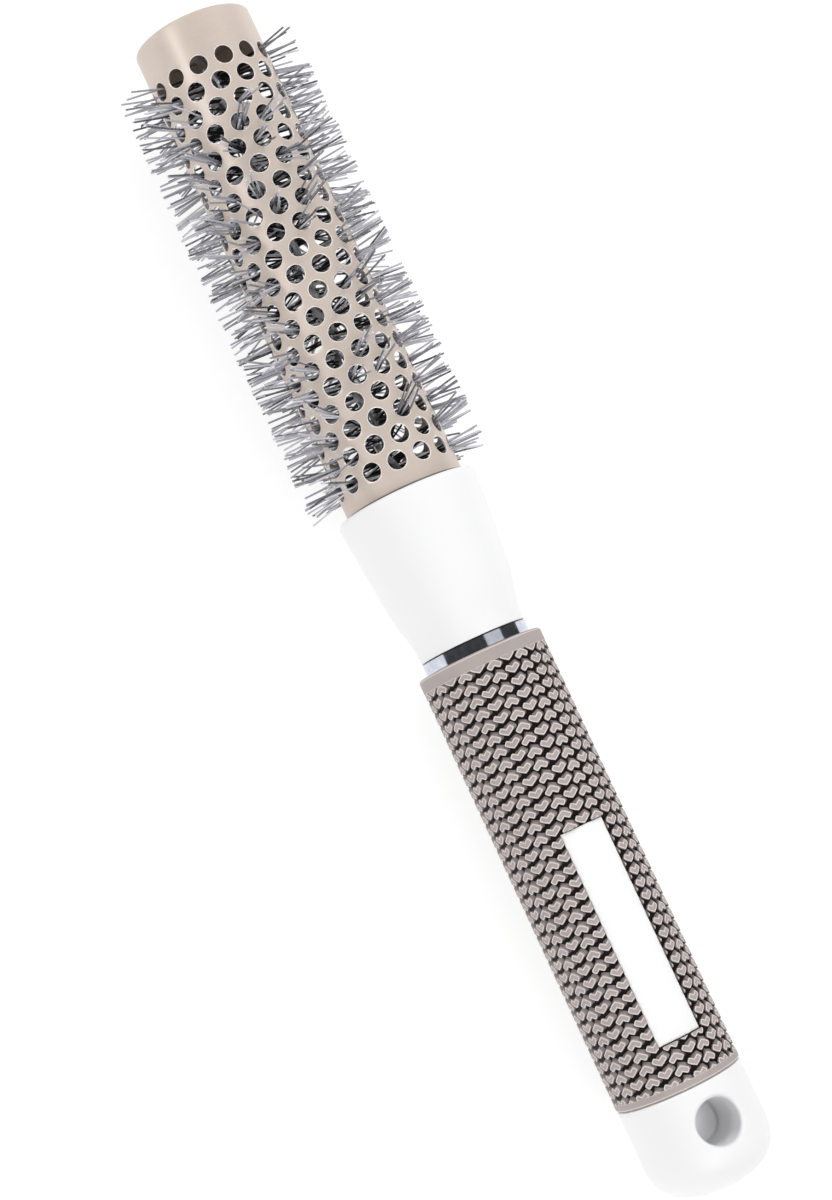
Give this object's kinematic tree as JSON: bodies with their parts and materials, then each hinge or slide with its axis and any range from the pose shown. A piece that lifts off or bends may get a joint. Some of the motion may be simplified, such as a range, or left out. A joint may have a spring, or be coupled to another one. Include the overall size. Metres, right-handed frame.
{
  "type": "round barrel brush",
  "caption": "Round vented metal barrel hairbrush with a twisted-in-wire bristle insert, moulded collar, rubber-sleeved handle and hang hole.",
  "frame": {"origin": "on the brush's long axis at half its length", "axes": "+X along the brush from the tip to the tail, +Z out through the label window and the hang hole, +Y completes the right-handed frame"},
  "size_m": [0.2534, 0.0392, 0.0392],
  "materials": {
    "champagne_metal": "satin champagne anodised",
    "tip_plastic": "fine matte",
    "wire_steel": "drawn wire",
    "grey_nylon": "smooth filament",
    "white_plastic": "polished",
    "chrome": "bright plated",
    "core_plastic": "as moulded",
    "taupe_rubber": "soft matte with a raised pattern"
  },
  "bodies": {
    "root": {"barrel": "champagne_metal", "tip_cap": "tip_plastic", "core_wire_a": "wire_steel", "core_wire_b": "wire_steel", "bristle_turn_01": "grey_nylon", "bristle_turn_02": "grey_nylon", "bristle_turn_03": "grey_nylon", "bristle_turn_04": "grey_nylon", "bristle_turn_05": "grey_nylon", "bristle_turn_06": "grey_nylon", "bristle_turn_07": "grey_nylon", "bristle_turn_08": "grey_nylon", "bristle_turn_09": "grey_nylon", "bristle_turn_10": "grey_nylon", "bristle_turn_11": "grey_nylon", "bristle_turn_12": "grey_nylon", "bristle_turn_13": "grey_nylon", "bristle_turn_14": "grey_nylon", "bristle_turn_15": "grey_nylon", "bristle_turn_16": "grey_nylon", "bristle_turn_17": "grey_nylon", "bristle_turn_18": "grey_nylon", "bristle_turn_19": "grey_nylon", "bristle_turn_20": "grey_nylon", "neck_collar": "white_plastic", "chrome_ring": "chrome", "handle_core": "core_plastic", "grip_sleeve": "taupe_rubber", "label_plate": "white_plastic", "tail_cap": "white_plastic"}
  },
  "joints": []
}
